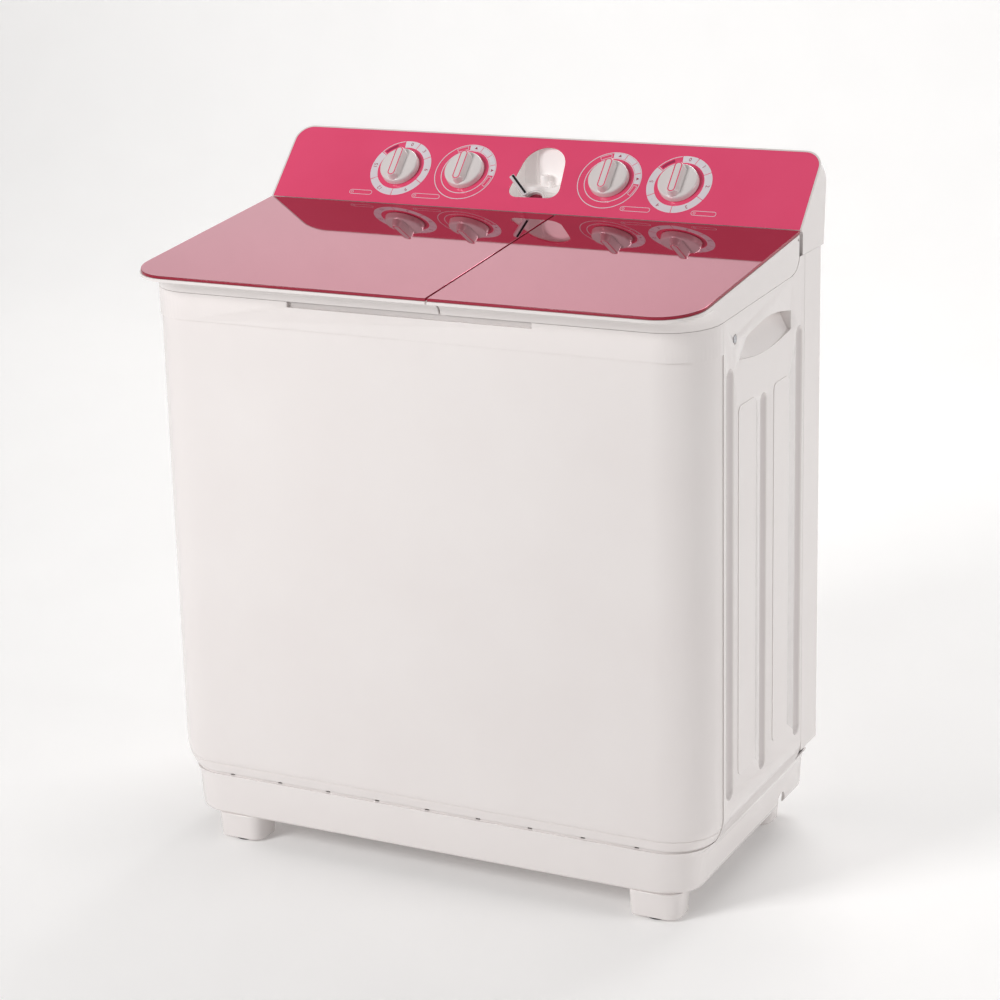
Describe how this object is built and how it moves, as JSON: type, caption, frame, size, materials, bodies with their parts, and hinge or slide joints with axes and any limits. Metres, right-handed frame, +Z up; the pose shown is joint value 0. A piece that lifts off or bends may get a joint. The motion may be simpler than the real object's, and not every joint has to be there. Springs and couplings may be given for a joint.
{
  "type": "twin tub washer",
  "caption": "Twin tub washing machine: wash tub and spin basket under two hinged tinted glass lids, sloping panel with rotary dials and an inlet window.",
  "frame": {"origin": "on the floor, under the middle of the bounding box", "axes": "+X to the right seen from the front, +Y to the back, +Z up"},
  "size_m": [0.8448, 0.498, 0.9851],
  "materials": {
    "white_plastic": "glossy moulded white",
    "pink_panel": "glossy printed pink",
    "pink_glass": "tinted tempered glass",
    "rubber": "matt",
    "steel": "satin",
    "chrome": "polished",
    "clear_plastic": "milky translucent",
    "pale_plastic": "moulded pale grey",
    "grey_plastic": "matt grey",
    "aluminium": "cast",
    "motor_paint": "satin"
  },
  "bodies": {
    "cabinet": {"plinth": "white_plastic", "feet": "white_plastic", "front_panel": "white_plastic", "side_panel_right": "white_plastic", "side_panel_left": "white_plastic", "rear_cover": "white_plastic", "top_frame": "white_plastic", "wash_tub": "white_plastic", "spin_tub": "white_plastic", "control_housing": "white_plastic", "inlet_chamber": "white_plastic", "inlet_pipe": "white_plastic", "fascia": "pink_panel", "foot_pads": "rubber", "shaft_seal": "rubber", "drive_belt": "rubber", "motor_bushes": "rubber", "bellows_seal": "rubber", "hinge_pins": "steel", "motor_bracket": "steel", "spin_motor_plate": "steel", "spin_springs": "steel", "screws": "steel", "drain_valve": "pale_plastic", "drain_pipe": "pale_plastic", "wash_timer": "pale_plastic", "spin_timer": "pale_plastic", "wash_selector": "grey_plastic", "drain_selector": "grey_plastic", "electrics": "grey_plastic", "bearing_housing": "aluminium", "wash_motor": "motor_paint", "spin_motor": "motor_paint"},
    "wash_lid": {"wash_lid_frame": "white_plastic", "wash_lid_glass": "pink_glass"},
    "spin_lid": {"spin_lid_frame": "white_plastic", "spin_lid_glass": "pink_glass"},
    "inner_lid": {"safety_lid": "clear_plastic"},
    "wash_timer_dial": {"wash_timer_knob": "white_plastic", "wash_timer_shaft": "steel"},
    "wash_selector_dial": {"wash_selector_knob": "white_plastic", "wash_selector_shaft": "steel"},
    "drain_dial": {"drain_knob": "white_plastic", "drain_shaft": "steel"},
    "spin_timer_dial": {"spin_timer_knob": "white_plastic", "spin_timer_shaft": "steel"},
    "diverter": {"diverter_hub": "white_plastic", "diverter_lever": "chrome"},
    "agitator": {"pulsator": "pale_plastic", "pulsator_shaft": "steel", "pulsator_pulley": "aluminium"},
    "wash_rotor": {"wash_motor_shaft": "steel", "motor_pulley": "aluminium"},
    "spin_rotor": {"spin_basket": "steel", "balance_ring": "white_plastic", "spin_shaft": "steel", "brake_drum": "aluminium"},
    "brake": {"brake_lever": "steel"},
    "plug": {"drain_plug": "grey_plastic"},
    "filter": {"lint_filter": "clear_plastic"}
  },
  "joints": [
    {"name": "wash_lid_hinge", "type": "hinge", "parent": "cabinet", "child": "wash_lid", "pos_m": [0, 0.1355, 0.88], "axis": [-1, 0, 0], "range_deg": [0, 95]},
    {"name": "spin_lid_hinge", "type": "hinge", "parent": "cabinet", "child": "spin_lid", "pos_m": [0, 0.1355, 0.88], "axis": [-1, 0, 0], "range_deg": [0, 95]},
    {"name": "safety_lid_hinge", "type": "hinge", "parent": "cabinet", "child": "inner_lid", "pos_m": [0.236, 0.1135, 0.84311], "axis": [-1, 0, 0], "range_deg": [0, 57]},
    {"name": "wash_timer_turn", "type": "hinge", "parent": "cabinet", "child": "wash_timer_dial", "pos_m": [-0.223, 0.19166, 0.93624], "axis": [0, -0.7133, 0.7009], "range_deg": [-300, 0]},
    {"name": "wash_selector_turn", "type": "hinge", "parent": "cabinet", "child": "wash_selector_dial", "pos_m": [-0.1155, 0.19166, 0.93624], "axis": [0, -0.7133, 0.7009], "range_deg": [-120, 0]},
    {"name": "drain_selector_turn", "type": "hinge", "parent": "cabinet", "child": "drain_dial", "pos_m": [0.1155, 0.19166, 0.93624], "axis": [0, -0.7133, 0.7009], "range_deg": [-90, 0]},
    {"name": "spin_timer_turn", "type": "hinge", "parent": "cabinet", "child": "spin_timer_dial", "pos_m": [0.223, 0.19166, 0.93624], "axis": [0, -0.7133, 0.7009], "range_deg": [-300, 0]},
    {"name": "diverter_swing", "type": "hinge", "parent": "cabinet", "child": "diverter", "pos_m": [0.005, 0.16642, 0.91056], "axis": [0, -0.7133, 0.7009], "range_deg": [-80, 0]},
    {"name": "pulsator_spin", "type": "hinge", "parent": "cabinet", "child": "agitator", "pos_m": [-0.185, -0.035, 0.3], "axis": [0, 0, 1], "continuous": true},
    {"name": "wash_motor_spin", "type": "hinge", "parent": "cabinet", "child": "wash_rotor", "pos_m": [-0.31, 0.1, 0.27], "axis": [0, 0, 1], "continuous": true},
    {"name": "basket_spin", "type": "hinge", "parent": "cabinet", "child": "spin_rotor", "pos_m": [0.236, -0.035, 0.3], "axis": [0, 0, 1], "continuous": true},
    {"name": "brake_lever_turn", "type": "hinge", "parent": "cabinet", "child": "brake", "pos_m": [0.296, -0.099, 0.303], "axis": [0, 0, 1], "range_deg": [0, 2.9]},
    {"name": "drain_plug_lift", "type": "slide", "parent": "cabinet", "child": "plug", "axis": [0, 0, 1], "range_m": [0, 0.018]},
    {"name": "lint_filter_lift", "type": "slide", "parent": "cabinet", "child": "filter", "axis": [0, 0, 1], "range_m": [0, 0.045]}
  ],
  "couplings": [
    {"joint": "safety_lid_hinge", "follows": "spin_lid_hinge", "ratio": 0.6},
    {"joint": "brake_lever_turn", "follows": "spin_lid_hinge", "ratio": 0.0305},
    {"joint": "wash_motor_spin", "follows": "pulsator_spin", "ratio": 3.7928},
    {"joint": "drain_selector_turn", "follows": "drain_plug_lift", "rad_per_m": -87.266}
  ]
}
